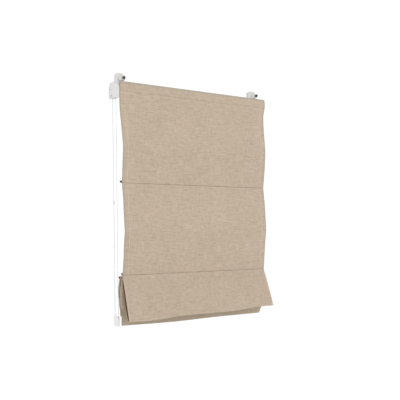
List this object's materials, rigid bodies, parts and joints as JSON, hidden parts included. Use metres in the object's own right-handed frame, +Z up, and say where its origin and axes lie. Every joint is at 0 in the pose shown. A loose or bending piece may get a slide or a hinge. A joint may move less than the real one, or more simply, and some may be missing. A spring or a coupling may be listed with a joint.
{
  "type": "roman blind",
  "caption": "Half-raised roman blind in melange fabric: soft folds over cross rods, headrail with side chain winder, hung on clamp brackets.",
  "frame": {"origin": "middle of the window sash's top edge, on its room-side face, where the two clamp brackets sit", "axes": "+X to the right seen from the room, +Y into the window, +Z up"},
  "size_m": [0.6375, 0.1011, 0.833],
  "materials": {
    "linen_cloth": "melange woven linen look, matt",
    "touch_tape": "woven touch fastener tape",
    "headrail_metal": "white powder coat on aluminium",
    "white_plastic": "moulded, fine satin",
    "sprocket_plastic": "moulded acetal",
    "shaft_steel": "bright drawn steel",
    "spring_steel": "spring steel",
    "screw_steel": "zinc plated",
    "dark_screw": "black oxide",
    "rod_fibre": "glass fibre rod",
    "dark_cap": "dark brown moulded",
    "bar_metal": "mill finish",
    "clear_ring": "translucent moulded ring",
    "lift_cord": "braided polyester",
    "chain_plastic": "moulded bead chain",
    "pad_rubber": "soft grey rubber"
  },
  "bodies": {
    "root": {"brake_spring": "spring_steel", "chain_connector": "white_plastic", "chain_loop": "chain_plastic", "chain_on_sprocket": "chain_plastic", "chain_weight_left": "white_plastic", "chain_weight_right": "white_plastic", "cloth_middle": "linen_cloth", "cloth_upper": "linen_cloth", "cord_rings_1": "clear_ring", "cross_rod_1": "rod_fibre", "drive_base": "white_plastic", "drive_cover": "white_plastic", "drive_screws": "screw_steel", "headrail": "headrail_metal", "headrail_end_cap": "white_plastic", "left_clamp_body": "white_plastic", "left_front_pad": "pad_rubber", "lift_cord_left": "lift_cord", "lift_cord_right": "lift_cord", "right_clamp_body": "white_plastic", "right_front_pad": "pad_rubber", "rod_end_caps_1": "dark_cap", "spool_cradle_left": "white_plastic", "spool_cradle_right": "white_plastic", "touch_fastener_strip": "touch_tape"},
    "stack": {"cloth_stack": "linen_cloth", "bottom_bar": "bar_metal", "cross_rod_2": "rod_fibre", "rod_end_caps_2": "dark_cap", "cord_rings_2": "clear_ring", "cross_rod_3": "rod_fibre", "rod_end_caps_3": "dark_cap", "cord_rings_3": "clear_ring", "cross_rod_4": "rod_fibre", "rod_end_caps_4": "dark_cap", "cord_rings_4": "clear_ring"},
    "winder": {"chain_sprocket": "sprocket_plastic", "winding_shaft": "shaft_steel", "cord_spool_left": "sprocket_plastic", "cord_spool_right": "sprocket_plastic", "cord_winding_left": "lift_cord", "cord_winding_right": "lift_cord"},
    "left_jaw": {"left_clamp_jaw": "white_plastic", "left_jaw_pad": "pad_rubber"},
    "left_screw": {"left_clamp_screw": "dark_screw"},
    "right_jaw": {"right_clamp_jaw": "white_plastic", "right_jaw_pad": "pad_rubber"},
    "right_screw": {"right_clamp_screw": "dark_screw"}
  },
  "joints": [
    {"name": "lift", "type": "slide", "parent": "root", "child": "stack", "axis": [0, 0, 1], "range_m": [0, 0.27], "deforming": ["cloth_middle", "lift_cord_left", "lift_cord_right"]},
    {"name": "winder_turn", "type": "hinge", "parent": "root", "child": "winder", "pos_m": [0, -0.0195, -0.024], "axis": [-1, 0, 0], "range_deg": [-5, 2980]},
    {"name": "left_screw_turn", "type": "hinge", "parent": "root", "child": "left_screw", "pos_m": [-0.287, 0, 0.013], "axis": [0, 1, 0], "range_deg": [-1400, 1625]},
    {"name": "left_jaw_slide", "type": "slide", "parent": "root", "child": "left_jaw", "axis": [0, -1, 0], "range_m": [-0.003, 0.0035]},
    {"name": "right_screw_turn", "type": "hinge", "parent": "root", "child": "right_screw", "pos_m": [0.275, 0, 0.013], "axis": [0, 1, 0], "range_deg": [-1400, 1625]},
    {"name": "right_jaw_slide", "type": "slide", "parent": "root", "child": "right_jaw", "axis": [0, -1, 0], "range_m": [-0.003, 0.0035]}
  ],
  "couplings": [
    {"joint": "winder_turn", "follows": "lift", "rad_per_m": 192.31},
    {"joint": "left_screw_turn", "follows": "left_jaw_slide", "rad_per_m": 7854},
    {"joint": "right_screw_turn", "follows": "right_jaw_slide", "rad_per_m": 7854}
  ]
}
